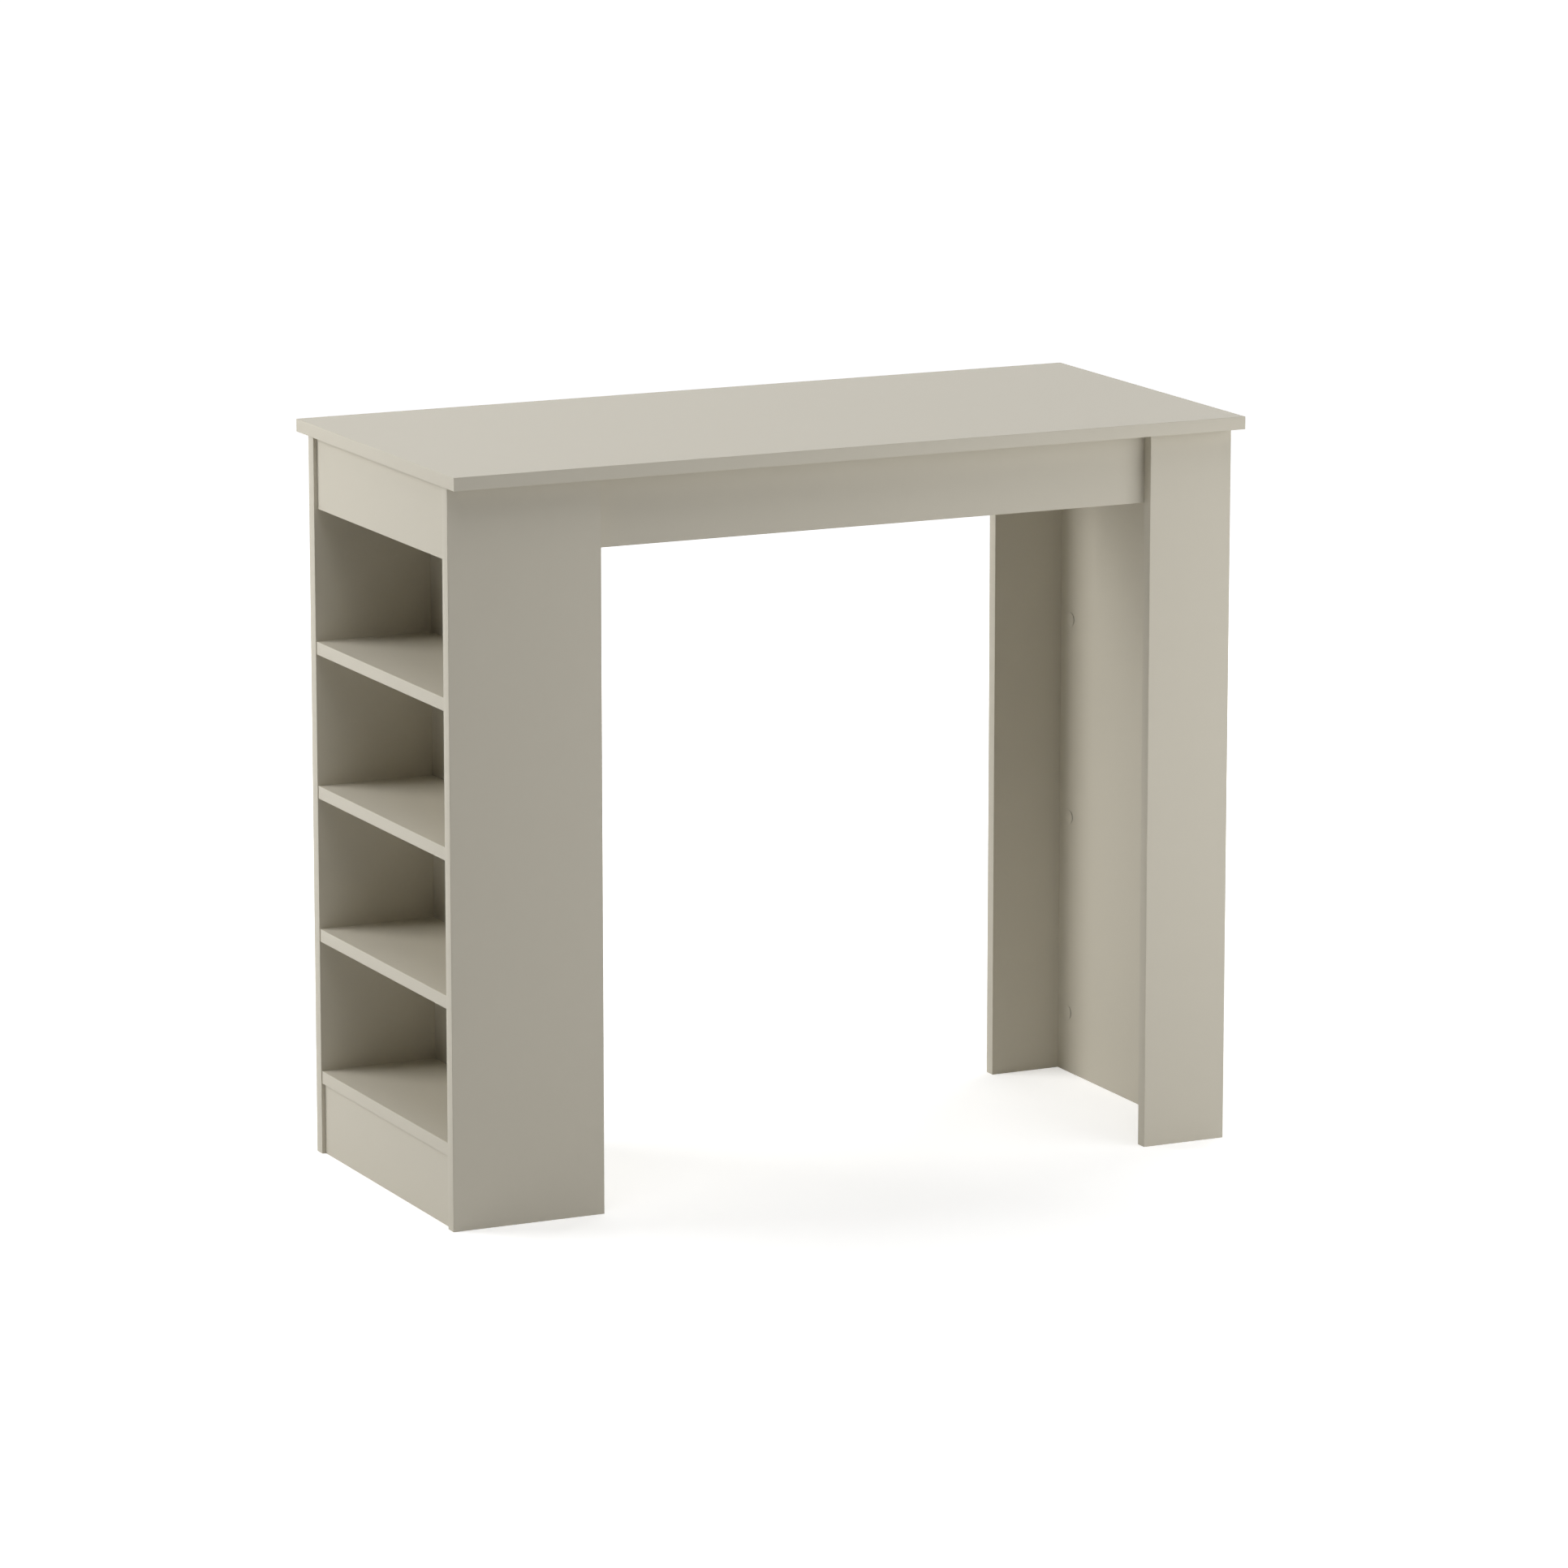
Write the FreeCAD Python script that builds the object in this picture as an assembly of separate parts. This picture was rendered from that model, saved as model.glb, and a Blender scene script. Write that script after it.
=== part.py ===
import FreeCAD, Part
import math
import os

from FreeCAD import Placement, Rotation, Vector

# Bar table: a rectangular top that stands on an open shelf tower at one end and on a channel of three boards
# at the other. Every panel is faced board, edged where the edge shows, and joined by cam locks and dowels.
# Millimetres. The origin is on the floor below the middle of the top. +X runs along the table from the
# shelf tower to the channel, -Y is the front and +Z is up.

# Overall sizes
HEIGHT = 1025.0            # floor to the upper face of the top
TOP_LENGTH = 1178.0
TOP_DEPTH = 545.0
END_OVERHANG = 4.0         # top past the base at each end
SIDE_OVERHANG = 32.5       # top past the base at the front and at the rear

# Panels
BOARD = 18.0               # thickness of the uprights, rails and shelves
TOP_THICKNESS = 18.0
TOWER_WIDTH = 221.0        # tower sides, along the table
BACK_RECESS = 31.5         # tower back behind the sides' edges, towards the knee space
LEG_WIDTH = 125.0          # channel legs, along the table
RAIL_HEIGHT = 100.0        # header and aprons
PLINTH_HEIGHT = 100.0
RAIL_SETBACK = 5.4         # header and plinth behind the tower mouth
SHELF_SETBACK = 1.4        # shelf edges behind the tower mouth
SHELF_NAMES = ("bottom_shelf", "lower_shelf", "middle_shelf", "upper_shelf")

# Edging
EDGING = 0.8               # thickness of a strip
EDGING_ROUND = 0.5         # radius along its outer edges

# Cam locks
CAM_DIAMETER = 15.0
CAM_FLOOR = 1.0            # cam's underside below the bolt's head
CAM_SINK = 0.3             # cam face below the board's face
CAM_CLEARANCE = 0.1        # all round the cam in its bore
CAM_SLOT_DEPTH = 3.0       # slot that the bolt's neck turns in, from the rim
CAM_SLOT_ROOM = 0.2        # slot wider than the neck's channel, on each side
CAM_DRIVE = 5.0            # round socket in the cam's face
CAM_DRIVE_DEPTH = 3.5
CAM_CROSS_LENGTH = 9.0     # driver slots across the socket
CAM_CROSS_WIDTH = 1.4
CAM_CROSS_DEPTH = 1.2

# Cam bolts
BOLT_HEAD = 7.0
BOLT_NECK = 4.4
BOLT_NECK_PAST = 0.5       # neck past the cam's rim
BOLT_SHAFT = 6.0
BOLT_COLLAR = 7.6
BOLT_COLLAR_LENGTH = 2.5
BOLT_THREAD = 5.0
BOLT_THREAD_LENGTH = 11.0
BOLT_TIP = 1.0             # chamfer at the end of the thread
BOLT_CLEARANCE = 0.3       # round the head, neck and collar
THREAD_CLEARANCE = 0.05    # round the thread in its hole

# Cover caps
CAP_DIAMETER = 20.0
CAP_THICKNESS = 1.2
CAP_ROUND = 0.4
CAP_GAP = 2.0              # cap to an apron that meets the same face
CAP_PIN_LENGTH = 3.0
CAP_PIN_CLEARANCE = 0.1    # round the pin in the cam's socket

# Dowels
DOWEL = 8.0
DOWEL_IN_EDGE = 20.0
DOWEL_IN_FACE = 10.0
DOWEL_CHAMFER = 1.0
DOWEL_CLEARANCE = 0.05     # round a dowel in its hole
HOLE_SPARE = 1.0           # every blind hole past the end of what it holds

# Where the fasteners sit along their joints
UPRIGHT_CAM_LOW = 88.0     # floor to the lowest cam of an upright joint
UPRIGHT_CAM_HIGH = 52.0    # underside of the top to its highest cam
UPRIGHT_CAM_COUNT = 4
RAIL_PAIR = 32.0           # cam to dowel at the end of a rail
SHELF_DOWEL_INSET = 27.0   # shelf edge to the dowels at its ends
SHELF_BACK_DOWELS = 240.0  # between the two dowels in a shelf's back edge
TOP_CAM_SPACING = 220.0    # between the two cams in the top edge of a cross panel
APRON_CAM_SPACING = 600.0  # between the two cams in the top edge of an apron
APRON_DOWEL_SPACING = 300.0
LEG_DOWEL_SPACING = 64.0   # between the dowels in the top edge of a leg
SIDE_DOWEL_SPACING = 128.0  # between the dowels in the top edge of a tower side

# Directions
RIGHT = Vector(1, 0, 0)
LEFT = Vector(-1, 0, 0)
REAR = Vector(0, 1, 0)
FRONT = Vector(0, -1, 0)
UP = Vector(0, 0, 1)
DOWN = Vector(0, 0, -1)
LONG_SIDES = (("front", FRONT), ("rear", REAR))

# Places worked out from the sizes
UNDERSIDE = HEIGHT - TOP_THICKNESS
RAIL_BOTTOM = UNDERSIDE - RAIL_HEIGHT
BASE_RIGHT = TOP_LENGTH / 2 - END_OVERHANG
BASE_LEFT = -BASE_RIGHT
BASE_REAR = TOP_DEPTH / 2 - SIDE_OVERHANG
CLEAR_REAR = BASE_REAR - BOARD
NICHE_HEIGHT = (RAIL_BOTTOM - PLINTH_HEIGHT) / len(SHELF_NAMES) - BOARD
BACK_FACE = BASE_LEFT + TOWER_WIDTH - BACK_RECESS - BOARD
CAM_SETBACK = BOARD + CAP_GAP + CAP_DIAMETER / 2   # board edge to the middle of a cam
CAM_BORE_DEPTH = BOARD / 2 + BOLT_HEAD / 2 + CAM_FLOOR
BOLT_NECK_LENGTH = CAM_DIAMETER / 2 + BOLT_NECK_PAST   # from the middle of the head

nodes = {}


def add(node, shape):
    """Put one more solid into a node."""
    nodes.setdefault(node, []).append(shape)


def box(low, high):
    size = high - low
    return Part.makeBox(size.x, size.y, size.z, low)


class Board:
    """A rectangular panel, the directions of its edged sides, and the holes drilled in it."""

    def __init__(self, name, low, high, edged=()):
        self.name = name
        self.low = Vector(*low)
        self.high = Vector(*high)
        self.edged = edged
        self.holes = []

    def size(self, direction):
        """The size along a direction, edging included."""
        return abs((self.high - self.low).dot(direction))

    def side(self, direction):
        """The middle of the side that faces this way."""
        middle = (self.low + self.high) / 2
        return middle + direction * (self.size(direction) / 2)

    def drill(self, mouth, direction, diameter, depth):
        self.holes.append(Part.makeCylinder(diameter / 2, depth, mouth, direction))

    def build(self):
        """Add the panel, cut back for its edging, and the strips of edging on it."""
        low = Vector(self.low)
        high = Vector(self.high)
        for order, direction in enumerate(self.edged):
            strip_low = Vector(low)
            strip_high = Vector(high)
            if direction in (RIGHT, REAR, UP):
                high = high - direction * EDGING
                strip_low = strip_low + direction * (high - low).dot(direction)
            else:
                low = low - direction * EDGING
                strip_high = strip_high + direction * (low - high).dot(direction)
            past_others = any(direction.dot(other) == 0 for other in self.edged[order + 1:])
            add(self.name + "_edging", rounded_strip(strip_low, strip_high, direction, past_others))
        panel = box(low, high)
        if self.holes:
            panel = panel.cut(self.holes)
        add(self.name, panel)


def rounded_strip(low, high, outward, past_others):
    """Edging with its outer long edges rounded, and its outer ends too where it runs past other strips."""
    strip = box(low, high)
    outer_face = max(strip.Faces, key=lambda face: face.CenterOfMass.dot(outward))
    longest = max(edge.Length for edge in outer_face.Edges)
    chosen = [edge for edge in outer_face.Edges if past_others or edge.Length > longest - EDGING]
    return strip.makeFillet(EDGING_ROUND, chosen)


def path(*points):
    """Straight edges through (x, radius) points."""
    return Part.makePolygon([Vector(x, radius, 0) for x, radius in points]).Edges


def ball(start, end, radius):
    """Arc of a ball at the origin, from one x to another."""
    places = [Vector(x, math.sqrt(radius ** 2 - x ** 2), 0) for x in (start, (start + end) / 2, end)]
    return Part.Arc(*places).toShape()


def turned(*edges):
    """A solid turned about the X axis from the edges of a closed outline."""
    return Part.Face(Part.Wire(edges)).revolve(Vector(0, 0, 0), RIGHT, 360)


def cam_lock():
    """A cam with its face up. Its bolt runs along +X, with the middle of the bolt's head at the origin."""
    radius = CAM_DIAMETER / 2 - CAM_CLEARANCE
    face = BOARD / 2 - CAM_SINK
    floor = BOARD / 2 - CAM_BORE_DEPTH
    cam = Part.makeCylinder(radius, face - floor, Vector(0, 0, floor))
    cavity = BOLT_HEAD / 2 + BOLT_CLEARANCE
    channel = BOLT_NECK / 2 + BOLT_CLEARANCE
    mouth = math.sqrt(cavity ** 2 - channel ** 2)
    reach = CAM_DIAMETER
    bolt_room = turned(
        ball(0, mouth, cavity),
        *path((mouth, channel), (reach, channel), (reach, 0), (-reach, 0), (-reach, cavity), (0, cavity)),
    )
    slot_half = channel + CAM_SLOT_ROOM
    slot = Part.makeCylinder(reach, 2 * slot_half, Vector(0, 0, -slot_half), UP, 180)
    slot = slot.cut(Part.makeCylinder(radius - CAM_SLOT_DEPTH, 2 * slot_half, Vector(0, 0, -slot_half)))
    socket = Part.makeCylinder(CAM_DRIVE / 2, CAM_DRIVE_DEPTH, Vector(0, 0, face), DOWN)
    half_length = CAM_CROSS_LENGTH / 2
    half_width = CAM_CROSS_WIDTH / 2
    bottom = face - CAM_CROSS_DEPTH
    cross = box(Vector(-half_length, -half_width, bottom), Vector(half_length, half_width, face))
    other_cross = box(Vector(-half_width, -half_length, bottom), Vector(half_width, half_length, face))
    return cam.cut([bolt_room, slot, socket, cross, other_cross])


def cam_bolt():
    """A turned bolt along +X: head in the cam at the origin, thread past the joint."""
    head = BOLT_HEAD / 2
    neck = BOLT_NECK / 2
    shaft = BOLT_SHAFT / 2
    collar = BOLT_COLLAR / 2
    thread = BOLT_THREAD / 2
    neck_start = math.sqrt(head ** 2 - neck ** 2)
    collar_start = CAM_SETBACK - BOLT_COLLAR_LENGTH
    thread_end = CAM_SETBACK + BOLT_THREAD_LENGTH
    return turned(
        ball(-head, neck_start, head),
        *path(
            (neck_start, neck),
            (BOLT_NECK_LENGTH, neck),
            (BOLT_NECK_LENGTH, shaft),
            (collar_start, shaft),
            (collar_start, collar),
            (CAM_SETBACK, collar),
            (CAM_SETBACK, thread),
            (thread_end - BOLT_TIP, thread),
            (thread_end, thread - BOLT_TIP),
            (thread_end, 0),
            (-head, 0),
        ),
    )


def cam_cap():
    """A cover disc on the board's face over the cam, with a pin in the cam's socket."""
    face = BOARD / 2
    disc = Part.makeCylinder(CAP_DIAMETER / 2, CAP_THICKNESS, Vector(0, 0, face))
    rim = [edge for edge in disc.Edges if edge.Closed and edge.CenterOfMass.z > face + CAP_THICKNESS / 2]
    disc = disc.makeFillet(CAP_ROUND, rim)
    pin = Part.makeCylinder(CAM_DRIVE / 2 - CAP_PIN_CLEARANCE, CAP_PIN_LENGTH, Vector(0, 0, face), DOWN)
    return disc.fuse(pin).removeSplitter()


def dowel_pin():
    """A dowel along +X, with the joint's plane at the origin."""
    radius = DOWEL / 2 - DOWEL_CLEARANCE
    return turned(*path(
        (-DOWEL_IN_EDGE, 0),
        (-DOWEL_IN_EDGE, radius - DOWEL_CHAMFER),
        (DOWEL_CHAMFER - DOWEL_IN_EDGE, radius),
        (DOWEL_IN_FACE - DOWEL_CHAMFER, radius),
        (DOWEL_IN_FACE, radius - DOWEL_CHAMFER),
        (DOWEL_IN_FACE, 0),
        (-DOWEL_IN_EDGE, 0),
    ))


CAM_LOCK = cam_lock()
CAM_BOLT = cam_bolt()
CAM_CAP = cam_cap()
DOWEL_PIN = dowel_pin()


def placed(shape, position, into, outward):
    """A copy with its X axis along into and its Z axis along outward."""
    copy = shape.copy()
    copy.Placement = Placement(position, Rotation(into, outward.cross(into), outward, "XZY"))
    return copy


def joint(group, edge_board, face_board, into, outward, along, cams=(), dowels=()):
    """Fasten the edge of one board to the face of another.

    into points from the edge into the face, outward is the edge board's face that the cams are set in,
    and cams and dowels are offsets along the joint from the middle of the edge.
    """
    middle = edge_board.side(into)
    for offset in cams:
        place = middle + along * offset
        centre = place - into * CAM_SETBACK
        edge_board.drill(centre + outward * (BOARD / 2), -outward, CAM_DIAMETER, CAM_BORE_DEPTH)
        edge_board.drill(place, -into, BOLT_COLLAR + 2 * BOLT_CLEARANCE, CAM_SETBACK)
        face_board.drill(place, into, BOLT_THREAD + 2 * THREAD_CLEARANCE, BOLT_THREAD_LENGTH + HOLE_SPARE)
        add(group + "_cam_locks", placed(CAM_LOCK, centre, into, outward))
        add(group + "_cam_bolts", placed(CAM_BOLT, centre, into, outward))
        add(group + "_cam_caps", placed(CAM_CAP, centre, into, outward))
    for offset in dowels:
        place = middle + along * offset
        edge_board.drill(place, -into, DOWEL, DOWEL_IN_EDGE + HOLE_SPARE)
        face_board.drill(place, into, DOWEL, DOWEL_IN_FACE + HOLE_SPARE)
        add(group + "_dowels", placed(DOWEL_PIN, place, into, outward))


def pair(spacing):
    return (-spacing / 2, spacing / 2)


# Panels
top = Board(
    "table_top",
    (-TOP_LENGTH / 2, -TOP_DEPTH / 2, UNDERSIDE),
    (TOP_LENGTH / 2, TOP_DEPTH / 2, HEIGHT),
    (FRONT, REAR, LEFT, RIGHT),
)
tower_back = Board(
    "tower_back",
    (BACK_FACE, -CLEAR_REAR, 0),
    (BACK_FACE + BOARD, CLEAR_REAR, UNDERSIDE),
)
end_panel = Board(
    "end_panel",
    (BASE_RIGHT - BOARD, -CLEAR_REAR, 0),
    (BASE_RIGHT, CLEAR_REAR, UNDERSIDE),
)
plinth = Board(
    "tower_plinth",
    (BASE_LEFT + RAIL_SETBACK, -CLEAR_REAR, 0),
    (BASE_LEFT + RAIL_SETBACK + BOARD, CLEAR_REAR, PLINTH_HEIGHT),
)
header = Board(
    "tower_header",
    (BASE_LEFT + RAIL_SETBACK, -CLEAR_REAR, RAIL_BOTTOM),
    (BASE_LEFT + RAIL_SETBACK + BOARD, CLEAR_REAR, UNDERSIDE),
    (DOWN,),
)
shelves = []
for level, name in enumerate(SHELF_NAMES):
    shelf_bottom = PLINTH_HEIGHT + level * (NICHE_HEIGHT + BOARD)
    shelves.append(Board(
        name,
        (BASE_LEFT + SHELF_SETBACK, -CLEAR_REAR, shelf_bottom),
        (BACK_FACE, CLEAR_REAR, shelf_bottom + BOARD),
        (LEFT,),
    ))

tower_sides = {}
legs = {}
aprons = {}
for name, toward in LONG_SIDES:
    faces = sorted((toward.y * BASE_REAR, toward.y * CLEAR_REAR))
    apron_faces = sorted((toward.y * CLEAR_REAR, toward.y * (CLEAR_REAR - BOARD)))
    tower_sides[name] = Board(
        f"tower_{name}_side",
        (BASE_LEFT, faces[0], 0),
        (BASE_LEFT + TOWER_WIDTH, faces[1], UNDERSIDE),
        (LEFT, RIGHT),
    )
    legs[name] = Board(
        f"{name}_leg",
        (BASE_RIGHT - LEG_WIDTH, faces[0], 0),
        (BASE_RIGHT, faces[1], UNDERSIDE),
        (LEFT, RIGHT),
    )
    aprons[name] = Board(
        f"{name}_apron",
        (BACK_FACE + BOARD, apron_faces[0], RAIL_BOTTOM),
        (BASE_RIGHT - BOARD, apron_faces[1], UNDERSIDE),
        (DOWN,),
    )

# Joints at the front and at the rear
upright_pitch = (UNDERSIDE - UPRIGHT_CAM_LOW - UPRIGHT_CAM_HIGH) / (UPRIGHT_CAM_COUNT - 1)
upright_cams = [UPRIGHT_CAM_LOW + n * upright_pitch - UNDERSIDE / 2 for n in range(UPRIGHT_CAM_COUNT)]
upright_dowels = [(lower + upper) / 2 for lower, upper in zip(upright_cams, upright_cams[1:])]
rail_cam, rail_dowel = pair(RAIL_PAIR)
for name, toward in LONG_SIDES:
    inward = -toward
    joint("end_panel", end_panel, legs[name], toward, LEFT, UP, upright_cams, upright_dowels)
    joint("tower_back", tower_back, tower_sides[name], toward, RIGHT, UP, upright_cams, upright_dowels)
    joint("rail", header, tower_sides[name], toward, RIGHT, UP, [rail_cam], [rail_dowel])
    joint("rail", plinth, tower_sides[name], toward, RIGHT, UP, [rail_cam], [rail_dowel])
    joint("apron", aprons[name], tower_back, LEFT, inward, UP, [rail_cam], [rail_dowel])
    joint("apron", aprons[name], end_panel, RIGHT, inward, UP, [rail_cam], [rail_dowel])
    for shelf in shelves:
        end_dowels = pair(shelf.size(RIGHT) - 2 * SHELF_DOWEL_INSET)
        joint("shelf", shelf, tower_sides[name], toward, DOWN, RIGHT, [0], end_dowels)
    joint("top", aprons[name], top, UP, inward, RIGHT, pair(APRON_CAM_SPACING), pair(APRON_DOWEL_SPACING))
    joint("top", legs[name], top, UP, inward, RIGHT, (), pair(LEG_DOWEL_SPACING))
    joint("top", tower_sides[name], top, UP, inward, RIGHT, (), pair(SIDE_DOWEL_SPACING))

# Joints across the table
for panel, outward in ((header, RIGHT), (tower_back, RIGHT), (end_panel, LEFT)):
    joint("top", panel, top, UP, outward, REAR, pair(TOP_CAM_SPACING))
for shelf in shelves:
    joint("shelf", shelf, tower_back, RIGHT, DOWN, REAR, (), pair(SHELF_BACK_DOWELS))
joint("rail", plinth, shelves[0], UP, RIGHT, REAR, (), pair(SHELF_BACK_DOWELS))

for board in [top, tower_back, end_panel, plinth, header, *shelves,
              *tower_sides.values(), *legs.values(), *aprons.values()]:
    board.build()

os.makedirs("parts", exist_ok=True)
for node, solids in nodes.items():
    shape = solids[0] if len(solids) == 1 else Part.makeCompound(solids)
    shape.exportStep(f"parts/{node}.step")
print(len(nodes), "nodes,", sum(len(solids) for solids in nodes.values()), "solids")
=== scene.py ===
import math

import bmesh
import bpy
from mathutils import Matrix, Vector


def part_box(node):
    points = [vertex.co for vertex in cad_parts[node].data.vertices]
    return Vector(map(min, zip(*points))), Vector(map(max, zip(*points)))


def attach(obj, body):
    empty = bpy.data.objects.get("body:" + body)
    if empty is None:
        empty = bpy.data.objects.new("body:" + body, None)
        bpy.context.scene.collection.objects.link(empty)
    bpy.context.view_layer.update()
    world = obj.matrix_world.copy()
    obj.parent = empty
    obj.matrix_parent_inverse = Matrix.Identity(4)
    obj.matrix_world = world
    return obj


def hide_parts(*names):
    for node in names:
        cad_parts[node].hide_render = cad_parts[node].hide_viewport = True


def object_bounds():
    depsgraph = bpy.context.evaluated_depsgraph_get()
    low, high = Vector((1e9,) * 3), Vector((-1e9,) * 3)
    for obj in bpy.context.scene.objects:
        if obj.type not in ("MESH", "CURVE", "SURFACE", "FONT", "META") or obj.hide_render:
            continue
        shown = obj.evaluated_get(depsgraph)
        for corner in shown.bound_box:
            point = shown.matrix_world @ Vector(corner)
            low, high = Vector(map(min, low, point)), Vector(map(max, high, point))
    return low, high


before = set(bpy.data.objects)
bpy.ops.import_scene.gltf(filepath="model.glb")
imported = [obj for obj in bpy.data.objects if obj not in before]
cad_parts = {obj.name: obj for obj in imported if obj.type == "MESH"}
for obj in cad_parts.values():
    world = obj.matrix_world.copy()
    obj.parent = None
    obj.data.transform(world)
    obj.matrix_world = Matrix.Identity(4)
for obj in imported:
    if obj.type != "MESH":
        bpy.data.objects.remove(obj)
cad_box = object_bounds()

# Camera, worked out from the straight edges in the photograph
PHOTO_SIDE = 1932            # pixels
FOCAL_PIXELS = 9369
AZIMUTH = -25.655            # degrees from the front, positive towards the right-hand end
ELEVATION = 11.818           # degrees
CAMERA_DISTANCE = 10.501     # metres, to the point that it aims at
AIM_HEIGHT = 0.513
AIM_SIDEWAYS = 0.0174
CLIP_END = 100

# Colours, linear
MELAMINE = (0.590, 0.553, 0.463)
MELAMINE_LIGHT = (0.604, 0.567, 0.477)
CHIP_DARK = (0.230, 0.140, 0.070)
CHIP_LIGHT = (0.560, 0.410, 0.250)
DIE_CAST = (0.420, 0.420, 0.410)
ZINC = (0.580, 0.580, 0.560)
BEECH = (0.600, 0.430, 0.260)
BEECH_DARK = (0.480, 0.320, 0.180)
# Painted shade: these dark colours in the seam under a cover cap's rim stand in for the shadow in that
# gap
SEAM_SHADE = (0.120, 0.105, 0.080)
SEAM_SHADE_DARK = (0.070, 0.060, 0.046)
FLOOR_WHITE = (0.900, 0.900, 0.900)
METAL_DULL = 0.75            # a metal's dull patches, as a share of its colour

# Gloss. A roughness goes from its first value to its second over a pattern.
SATIN = 0.25                 # specular level of the melamine, edging and caps
BOARD_ROUGHNESS = (0.55, 0.65)
CUT_EDGE_ROUGHNESS = 0.90
EDGING_ROUGHNESS = (0.50, 0.62)
CAP_ROUGHNESS = (0.50, 0.62)
SEAM_SHADE_ROUGHNESS = (0.85, 0.95)
CAM_ROUGHNESS = (0.45, 0.65)
BOLT_ROUGHNESS = (0.28, 0.48)
BEECH_ROUGHNESS = (0.60, 0.75)
FLOOR_ROUGHNESS = (0.85, 0.95)

# Patterns, cycles per metre
BOARD_GRAIN = 700
BOARD_CLOUDS = 3.5
GRAIN_SHARE = 0.6            # of the boards' colour change, the rest is clouds
CHIPS = 380
EDGING_LINES_ACROSS = 900
EDGING_LINES_ALONG = 4
CAP_GRAIN = 1600
SEAM_SHADE_SPECKS = 1600
CAM_BLOOM = 300
BOLT_BLOOM = 500
BEECH_FLECKS = 600
FLOOR_GRAIN = 40

# Relief of the finishes, metres
BOARD_RELIEF = 0.00003
EDGING_RELIEF = 0.00001
CAP_RELIEF = 0.00001
SEAM_SHADE_RELIEF = 0.00002
METAL_RELIEF = 0.00002
BEECH_RELIEF = 0.00004

# Edging and cover caps, metres
EDGING_ROUND = 0.0005
EDGING_SEAM = 0.00008        # arris where a strip meets its board
CAP_RADIUS = 0.010
CAP_THICKNESS = 0.0012
CAP_ROUND = 0.0002
CAP_UNDERCUT = 0.0006        # rim past the foot that stands on the board
CAP_FOOT = 0.0007            # height of that foot
CAP_PIN_RADIUS = 0.0024
CAP_PIN_LENGTH = 0.003
CAP_STEPS = 64
ROUND_SEGMENTS = 4
SHARP_ANGLE = math.radians(40)
SAME_POINT = 1e-6            # points closer than this are one

# Studio. A level of 1 shows a surface that faces the light in its own colour.
SOFTBOXES = (
    # name, azimuth, elevation, distance, width, level
    ("left_softbox", -120, 25, 4.0, 2.5, 0.65),
    ("front_left_softbox", -30, 60, 4.0, 2.5, 0.30),
    ("front_right_softbox", 40, 8, 2.2, 2.0, 0.50),
    ("right_softbox", 120, 25, 4.0, 2.5, 0.35),
    ("rear_softbox", 165, 35, 4.0, 2.5, 0.18),
)
FLOOR_REACH = 40.0           # metres from the table to the floor's edge
FLOOR_GLOW = 0.42            # whitening of the floor beside the table, and far from it
FLOOR_GLOW_FAR = 1.0
GLOW_START = 0.6             # metres from the table's middle
GLOW_END = 3.5

AXES = (Vector((1, 0, 0)), Vector((0, 1, 0)), Vector((0, 0, 1)))

# Boards, by the axis across their thickness
BOARDS = (
    ("tower_back", "end_panel", "tower_plinth", "tower_header"),
    ("tower_front_side", "tower_rear_side", "front_leg", "rear_leg", "front_apron", "rear_apron"),
    ("table_top", "bottom_shelf", "lower_shelf", "middle_shelf", "upper_shelf"),
)
EDGED = (
    "table_top", "tower_front_side", "tower_rear_side", "front_leg", "rear_leg", "tower_header",
    "front_apron", "rear_apron", "bottom_shelf", "lower_shelf", "middle_shelf", "upper_shelf",
)
JOINTS = ("end_panel", "tower_back", "shelf", "rail", "apron", "top")


class Value:
    """A varying number in a node tree. Arithmetic on it adds Math nodes."""

    def __init__(self, nodes, socket):
        self.nodes = nodes
        self.socket = socket

    def math(self, operation, *inputs):
        """The result of a Math node."""
        return self.nodes.add("ShaderNodeMath", {"operation": operation}, dict(enumerate(inputs)))

    def __add__(self, other):
        return self.math("ADD", self, other)

    def __rsub__(self, other):
        return self.math("SUBTRACT", other, self)

    def __mul__(self, other):
        return self.math("MULTIPLY", self, other)

    def __gt__(self, other):
        return self.math("GREATER_THAN", self, other)

    def __abs__(self):
        return self.math("ABSOLUTE", self)

    __radd__ = __add__
    __rmul__ = __mul__


class Nodes:
    """The node tree of a material or of the world."""

    def __init__(self, tree):
        self.tree = tree

    def feed(self, target, inputs):
        """Set or link sockets of a node."""
        for key, value in inputs.items():
            if isinstance(value, Value):
                self.tree.links.new(value.socket, target.inputs[key])
            else:
                target.inputs[key].default_value = value

    def add(self, kind, settings, inputs, output=0):
        """Add a node, set it up, feed its sockets and give back one of its outputs."""
        made = self.tree.nodes.new(kind)
        for key, value in settings.items():
            setattr(made, key, value)
        self.feed(made, inputs)
        return Value(self, made.outputs[output])

    def background_ray(self):
        """1 where the eye, a reflection or a clear surface meets this, 0 where it lights something."""
        rays = [self.add("ShaderNodeLightPath", {}, {}, name)
                for name in ("Is Camera Ray", "Is Glossy Ray", "Is Transmission Ray")]
        return (rays[0] + rays[1] + rays[2]) > 0.5


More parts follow.
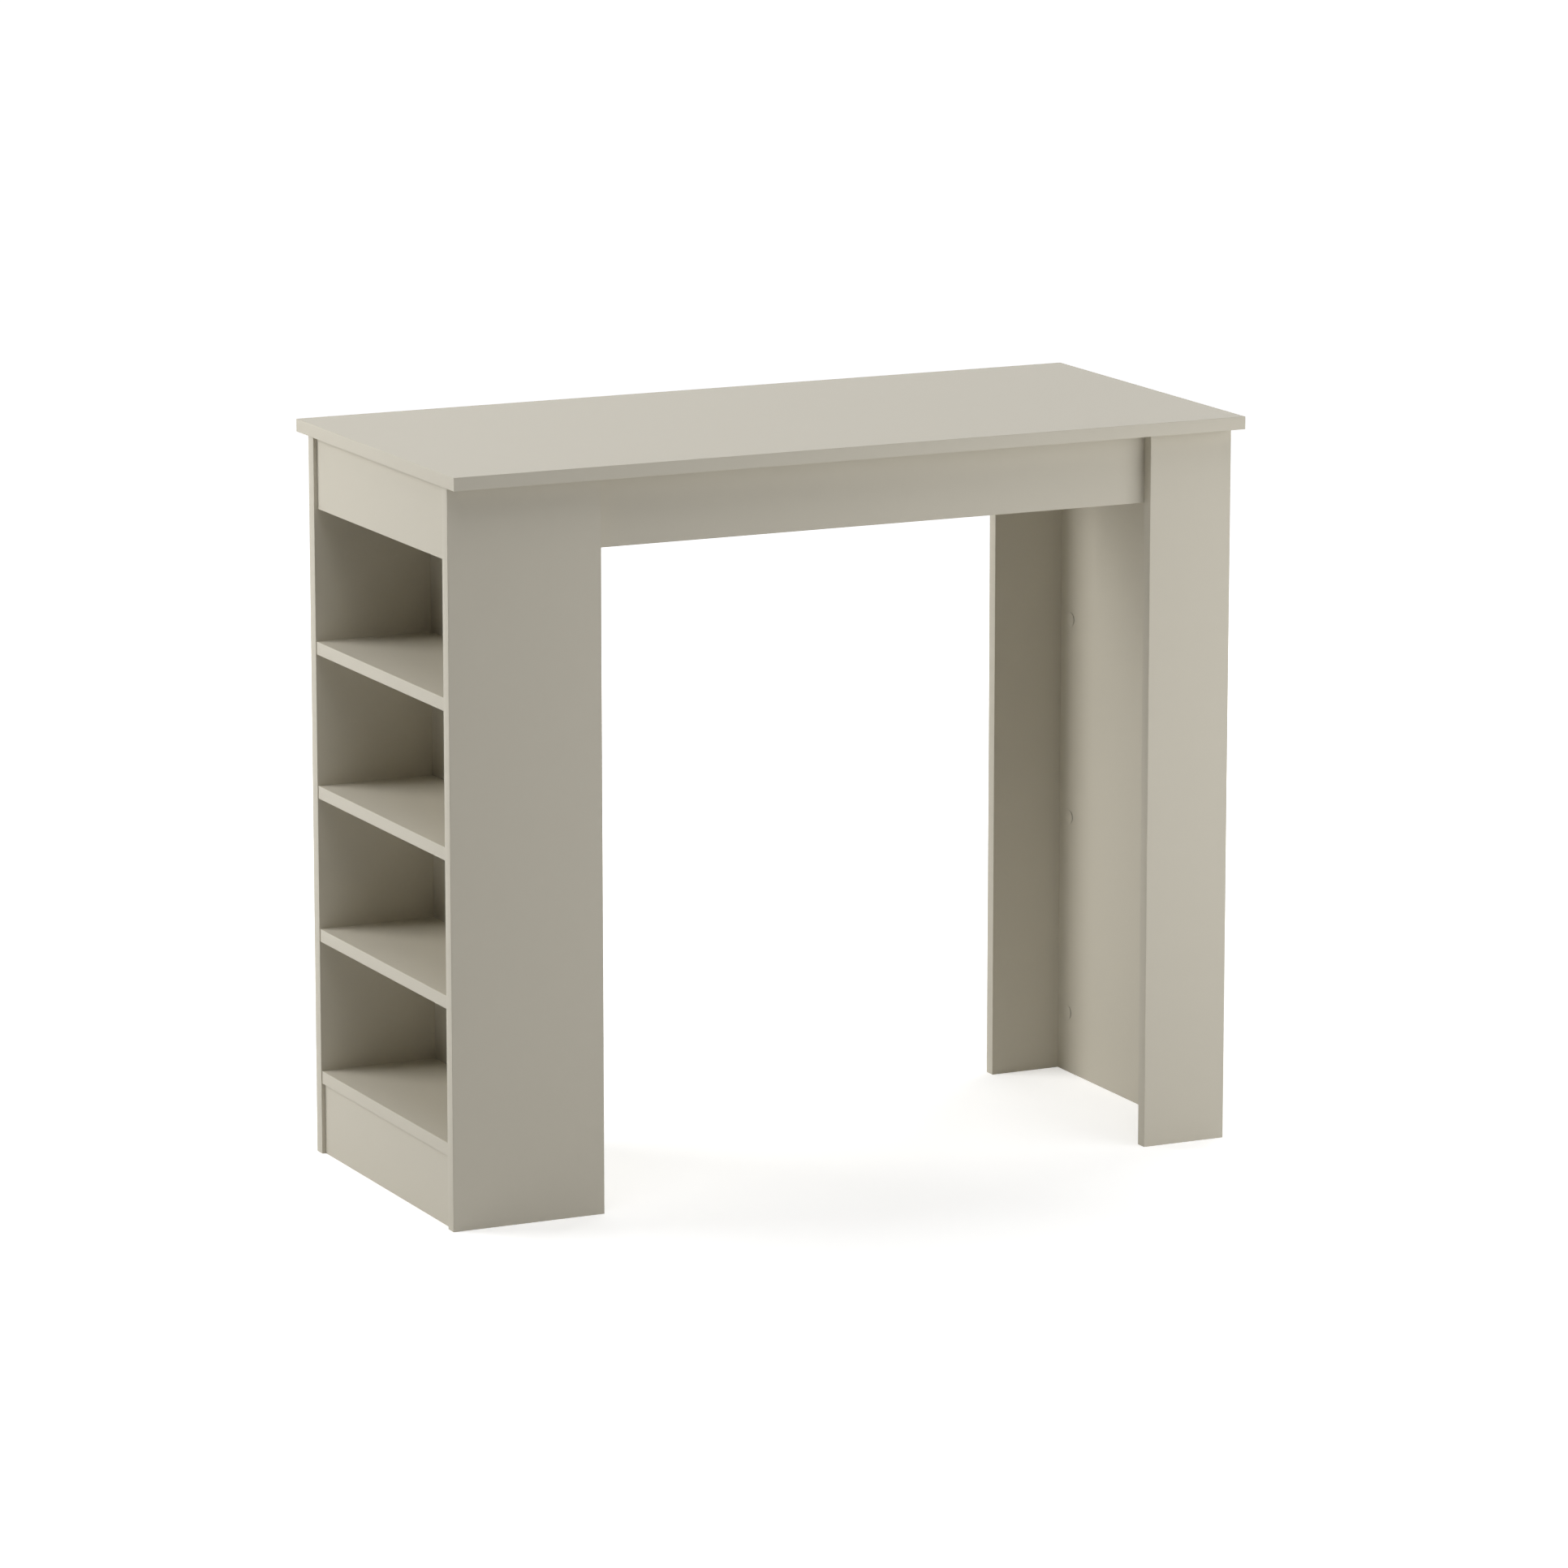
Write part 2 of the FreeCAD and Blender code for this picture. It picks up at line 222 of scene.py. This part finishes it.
class Finish(Nodes):
    """A material around one Principled shader, on the object's own coordinates."""

    def __init__(self, name):
        self.material = bpy.data.materials.new(name)
        self.material.use_nodes = True
        super().__init__(self.material.node_tree)
        self.shader = self.tree.nodes["Principled BSDF"]
        self.place = self.add("ShaderNodeTexCoord", {}, {}, "Object")

    def noise(self, scale, detail=2, where=None):
        """Noise from 0 to 1, with scale in cycles per metre."""
        inputs = {"Vector": where or self.place, "Scale": scale, "Detail": detail}
        return self.add("ShaderNodeTexNoise", {}, inputs)

    def blend(self, factor, first, second):
        """A colour between two others. A Mix node's colours go in at 6 and 7 and come out at 2."""
        colours = [value if isinstance(value, Value) else (*value, 1) for value in (first, second)]
        inputs = {0: factor, 6: colours[0], 7: colours[1]}
        return self.add("ShaderNodeMix", {"data_type": "RGBA"}, inputs, 2)

    def bump(self, height, depth):
        """A normal that follows a height from 0 to 1, with depth in metres."""
        return self.add("ShaderNodeBump", {}, {"Height": height, "Distance": depth})


def between(limits, pattern):
    """A number that goes from the first limit to the second as a pattern goes from 0 to 1."""
    low, high = limits
    return low + (high - low) * pattern


def melamine_board(axis):
    """Faced chipboard: satin melamine on the two faces across this axis, bare chips on the cut edges."""
    finish = Finish("melamine_board_" + "xyz"[axis])
    grain = finish.noise(BOARD_GRAIN, detail=3)
    clouds = finish.noise(BOARD_CLOUDS)
    mottle = GRAIN_SHARE * grain + (1 - GRAIN_SHARE) * clouds
    facing = finish.blend(mottle, MELAMINE, MELAMINE_LIGHT)
    cells = {"Vector": finish.place, "Scale": CHIPS}
    chip_colour = finish.add("ShaderNodeTexVoronoi", {}, cells, "Color")
    chips = finish.add("ShaderNodeSeparateColor", {}, {"Color": chip_colour})
    core = finish.blend(chips, CHIP_DARK, CHIP_LIGHT)
    normal = finish.add("ShaderNodeNewGeometry", {}, {}, "True Normal")
    across = finish.add("ShaderNodeSeparateXYZ", {}, {"Vector": normal}, axis)
    is_face = abs(across) > 0.5
    finish.feed(finish.shader, {
        "Base Color": finish.blend(is_face, core, facing),
        "Roughness": between(BOARD_ROUGHNESS, grain) * is_face + CUT_EDGE_ROUGHNESS * (1 - is_face),
        "Specular IOR Level": SATIN,
        "Normal": finish.bump(grain * is_face + chips * (1 - is_face), BOARD_RELIEF),
    })
    return finish.material


def edging_strip(axis):
    """Edging in the boards' colour, with faint extrusion lines along this axis."""
    finish = Finish("edging_" + "xyz"[axis])
    scale = [EDGING_LINES_ACROSS] * 3
    scale[axis] = EDGING_LINES_ALONG
    stretched = finish.add("ShaderNodeMapping", {}, {"Vector": finish.place, "Scale": scale})
    lines = finish.noise(1, where=stretched)
    finish.feed(finish.shader, {
        "Base Color": finish.blend(lines, MELAMINE, MELAMINE_LIGHT),
        "Roughness": between(EDGING_ROUGHNESS, lines),
        "Specular IOR Level": SATIN,
        "Normal": finish.bump(lines, EDGING_RELIEF),
    })
    return finish.material


def cap_plastic():
    """Moulded plastic in the boards' colour, with a fine grain."""
    finish = Finish("cap_plastic")
    grain = finish.noise(CAP_GRAIN)
    finish.feed(finish.shader, {
        "Base Color": finish.blend(grain, MELAMINE, MELAMINE_LIGHT),
        "Roughness": between(CAP_ROUGHNESS, grain),
        "Specular IOR Level": SATIN,
        "Normal": finish.bump(grain, CAP_RELIEF),
    })
    return finish.material


def cap_seam():
    """Painted shade in the seam between a cap's rim and its board: a dark colour with faint specks."""
    finish = Finish("cap_seam")
    specks = finish.noise(SEAM_SHADE_SPECKS)
    finish.feed(finish.shader, {
        "Base Color": finish.blend(specks, SEAM_SHADE_DARK, SEAM_SHADE),
        "Roughness": between(SEAM_SHADE_ROUGHNESS, specks),
        "Normal": finish.bump(specks, SEAM_SHADE_RELIEF),
    })
    return finish.material


def metal(name, colour, roughness, scale):
    """Bare metal with a cloudy bloom over it."""
    finish = Finish(name)
    bloom = finish.noise(scale, detail=4)
    dull = [METAL_DULL * channel for channel in colour]
    finish.feed(finish.shader, {
        "Base Color": finish.blend(bloom, dull, colour),
        "Metallic": 1.0,
        "Roughness": between(roughness, bloom),
        "Normal": finish.bump(bloom, METAL_RELIEF),
    })
    return finish.material


def beech():
    """Plain beech with short dark flecks."""
    finish = Finish("beech")
    flecks = finish.noise(BEECH_FLECKS, detail=4)
    finish.feed(finish.shader, {
        "Base Color": finish.blend(flecks, BEECH_DARK, BEECH),
        "Roughness": between(BEECH_ROUGHNESS, flecks),
        "Normal": finish.bump(flecks, BEECH_RELIEF),
    })
    return finish.material


def studio_floor():
    """White floor that keeps the table's shadow, turns plain white far off and is clear from below."""
    finish = Finish("studio_floor")
    grain = finish.noise(FLOOR_GRAIN)
    distance = finish.add("ShaderNodeVectorMath", {"operation": "LENGTH"}, {0: finish.place}, "Value")
    glow = finish.add("ShaderNodeMapRange", {"interpolation_type": "SMOOTHSTEP"}, {
        "Value": distance,
        "From Min": GLOW_START,
        "From Max": GLOW_END,
        "To Min": FLOOR_GLOW,
        "To Max": FLOOR_GLOW_FAR,
    })
    finish.feed(finish.shader, {
        "Base Color": (*FLOOR_WHITE, 1),
        "Roughness": between(FLOOR_ROUGHNESS, grain),
        "Emission Color": glow * finish.background_ray(),
        "Emission Strength": 1.0,
    })
    from_below = finish.add("ShaderNodeNewGeometry", {}, {}, "Backfacing")
    white = Value(finish, finish.shader.outputs["BSDF"])
    clear = finish.add("ShaderNodeBsdfTransparent", {}, {})
    surface = finish.add("ShaderNodeMixShader", {}, {0: from_below, 1: white, 2: clear})
    finish.feed(finish.tree.nodes["Material Output"], {"Surface": surface})
    return finish.material


def separate_solids(node):
    """Points of each separate solid in a CAD node."""
    mesh = bmesh.new()
    mesh.from_mesh(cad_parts[node].data)
    bmesh.ops.remove_doubles(mesh, verts=mesh.verts, dist=SAME_POINT)
    left = set(mesh.verts)
    solids = []
    while left:
        found = [left.pop()]
        for vertex in found:
            linked = {edge.other_vert(vertex) for edge in vertex.link_edges} & left
            left -= linked
            found.extend(linked)
        solids.append([vertex.co.copy() for vertex in found])
    mesh.free()
    return solids


def corners(points):
    """Lowest and highest corner of some points."""
    low = Vector([min(point[axis] for point in points) for axis in range(3)])
    high = Vector([max(point[axis] for point in points) for axis in range(3)])
    return low, high


def add_piece(name, mesh, materials, node):
    """Turn a bmesh into a piece that stands for a CAD node."""
    data = bpy.data.meshes.new(name)
    mesh.to_mesh(data)
    mesh.free()
    for material in materials:
        data.materials.append(material)
    data.shade_smooth()
    data.set_sharp_from_angle(angle=SHARP_ANGLE)
    piece = bpy.data.objects.new(name, data)
    bpy.context.scene.collection.objects.link(piece)
    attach(piece, "root")
    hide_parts(node)


def edge_strips(board, materials):
    """The strips on one board, with rounded outer edges and a hairline arris along the board."""
    node = board + "_edging"
    board_low, board_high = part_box(board)
    board_middle = (board_low + board_high) / 2
    mesh = bmesh.new()
    runs = []
    for points in separate_solids(node):
        low, high = corners(points)
        size = high - low
        middle = (low + high) / 2
        thin = min(range(3), key=lambda axis: size[axis])
        run = max(range(3), key=lambda axis: size[axis])
        if run not in runs:
            runs.append(run)
        outward = 1 if middle[thin] > board_middle[thin] else -1
        place = Matrix.Translation(middle) @ Matrix.Diagonal((*size, 1))
        verts = bmesh.ops.create_cube(mesh, size=1, matrix=place)["verts"]
        for face in {face for vert in verts for face in vert.link_faces}:
            face.material_index = runs.index(run)
        long_edges = [edge for edge in {edge for vert in verts for edge in vert.link_edges}
                      if abs((edge.verts[0].co - edge.verts[1].co)[run]) > size[run] / 2]
        outer = [edge for edge in long_edges if (edge.verts[0].co[thin] - middle[thin]) * outward > 0]
        inner = [edge for edge in long_edges if edge not in outer]
        for edges, radius, segments in ((outer, EDGING_ROUND, ROUND_SEGMENTS), (inner, EDGING_SEAM, 1)):
            bmesh.ops.bevel(mesh, geom=edges, offset=radius, segments=segments, profile=0.5,
                            affect="EDGES", material=-1)
    add_piece(board + "_edge_strips", mesh, [materials[run] for run in runs], node)


def cap_pattern():
    """One cover cap, turned about Z: its disc stands on the origin and its pin points down.

    Material 0 is the cap itself and material 1 the painted shade of the seam under its rim.
    """
    mesh = bmesh.new()
    foot_radius = CAP_RADIUS - CAP_UNDERCUT
    outline = [
        (0, CAP_THICKNESS), (CAP_RADIUS, CAP_THICKNESS), (CAP_RADIUS, CAP_FOOT), (foot_radius, CAP_FOOT),
        (foot_radius, 0), (CAP_PIN_RADIUS, 0), (CAP_PIN_RADIUS, -CAP_PIN_LENGTH), (0, -CAP_PIN_LENGTH),
    ]
    verts = [mesh.verts.new((reach, 0, height)) for reach, height in outline]
    edges = [mesh.edges.new(pair) for pair in zip(verts, verts[1:])]
    bmesh.ops.spin(mesh, geom=verts + edges, cent=(0, 0, 0), axis=(0, 0, 1), angle=math.tau,
                   steps=CAP_STEPS, use_merge=True)
    bmesh.ops.remove_doubles(mesh, verts=mesh.verts, dist=SAME_POINT)
    bmesh.ops.recalc_face_normals(mesh, faces=mesh.faces)
    rim_middle = (CAP_FOOT + CAP_THICKNESS) / 2
    # The foot and the underside of the rim take the painted seam shade
    for face in mesh.faces:
        if all(-CAP_PIN_LENGTH / 2 < vert.co.z < rim_middle for vert in face.verts):
            face.material_index = 1
    rim = [edge for edge in mesh.edges
           if all(vert.co.z > rim_middle and vert.co.xy.length > foot_radius for vert in edge.verts)]
    bmesh.ops.bevel(mesh, geom=rim, offset=CAP_ROUND, segments=ROUND_SEGMENTS, profile=0.5,
                    affect="EDGES", material=-1)
    pattern = bpy.data.meshes.new("cap_pattern")
    mesh.to_mesh(pattern)
    mesh.free()
    return pattern


def cover_caps(joint, pattern, materials):
    """Cover caps at the places of one joint's CAD caps."""
    node = joint + "_cam_caps"
    mesh = bmesh.new()
    for points in separate_solids(node):
        low, high = corners(points)
        size = high - low
        thin = min(range(3), key=lambda axis: size[axis])
        seat = (low + high) / 2
        disc = [point[thin] for point in points if (point - seat).length > CAP_RADIUS]
        outward = 1 if sum(disc) / len(disc) > seat[thin] else -1
        seat[thin] += outward * (CAP_PIN_LENGTH - CAP_THICKNESS) / 2
        turn = AXES[2].rotation_difference(outward * AXES[thin]).to_matrix().to_4x4()
        first = len(mesh.verts)
        mesh.from_mesh(pattern)
        mesh.verts.ensure_lookup_table()
        bmesh.ops.transform(mesh, matrix=Matrix.Translation(seat) @ turn, verts=mesh.verts[first:])
    add_piece(joint + "_cover_caps", mesh, materials, node)


def finish_node(node, material):
    """Give a CAD node its finish."""
    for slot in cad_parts[node].material_slots:
        slot.material = material


def direction(azimuth, elevation):
    """From the table towards a point at this azimuth and elevation, in degrees."""
    turn = math.radians(azimuth)
    lift = math.radians(elevation)
    return Vector((math.sin(turn) * math.cos(lift), -math.cos(turn) * math.cos(lift), math.sin(lift)))


def put(name, data, target, outward, distance):
    """Hang a lamp or a camera at a distance from the point that it faces."""
    thing = bpy.data.objects.new(name, data)
    thing.location = target + distance * outward
    thing.rotation_euler = (-outward).to_track_quat("-Z", "Y").to_euler()
    bpy.context.scene.collection.objects.link(thing)
    return thing


def softbox(name, azimuth, elevation, distance, width, level):
    """A square area lamp that faces the middle of the table and gives it this level of light."""
    lamp = bpy.data.lights.new(name, "AREA")
    lamp.size = width
    lamp.energy = level * (math.pi * distance) ** 2
    middle = (cad_box[0] + cad_box[1]) / 2
    put(name, lamp, middle, direction(azimuth, elevation), distance)


for axis, boards in enumerate(BOARDS):
    board_material = melamine_board(axis)
    for board in boards:
        finish_node(board, board_material)

edging_materials = [edging_strip(axis) for axis in range(3)]
for board in EDGED:
    edge_strips(board, edging_materials)

one_cap = cap_pattern()
cap_materials = [cap_plastic(), cap_seam()]
cam_material = metal("die_cast_cam", DIE_CAST, CAM_ROUGHNESS, CAM_BLOOM)
bolt_material = metal("zinc_bolt", ZINC, BOLT_ROUGHNESS, BOLT_BLOOM)
dowel_material = beech()
for joint in JOINTS:
    cover_caps(joint, one_cap, cap_materials)
    finish_node(joint + "_cam_locks", cam_material)
    finish_node(joint + "_cam_bolts", bolt_material)
    finish_node(joint + "_dowels", dowel_material)

floor_mesh = bmesh.new()
bmesh.ops.create_grid(floor_mesh, x_segments=1, y_segments=1, size=FLOOR_REACH)
floor_data = bpy.data.meshes.new("studio_floor")
floor_mesh.to_mesh(floor_data)
floor_mesh.free()
floor_data.materials.append(studio_floor())
floor = bpy.data.objects.new("studio_floor", floor_data)
bpy.context.scene.collection.objects.link(floor)

for settings in SOFTBOXES:
    softbox(*settings)

world = bpy.data.worlds.new("studio")
world.use_nodes = True
sky = Nodes(world.node_tree)
sky.feed(sky.tree.nodes["Background"], {"Color": (1, 1, 1, 1), "Strength": sky.background_ray()})
bpy.context.scene.world = world

lens = bpy.data.cameras.new("camera")
lens.lens = lens.sensor_width * FOCAL_PIXELS / PHOTO_SIDE
lens.clip_end = CLIP_END
turn = math.radians(AZIMUTH)
aim = Vector((AIM_SIDEWAYS * math.cos(turn), AIM_SIDEWAYS * math.sin(turn), AIM_HEIGHT))
bpy.context.scene.camera = put("camera", lens, aim, direction(AZIMUTH, ELEVATION), CAMERA_DISTANCE)
bpy.context.scene.view_settings.view_transform = "Standard"
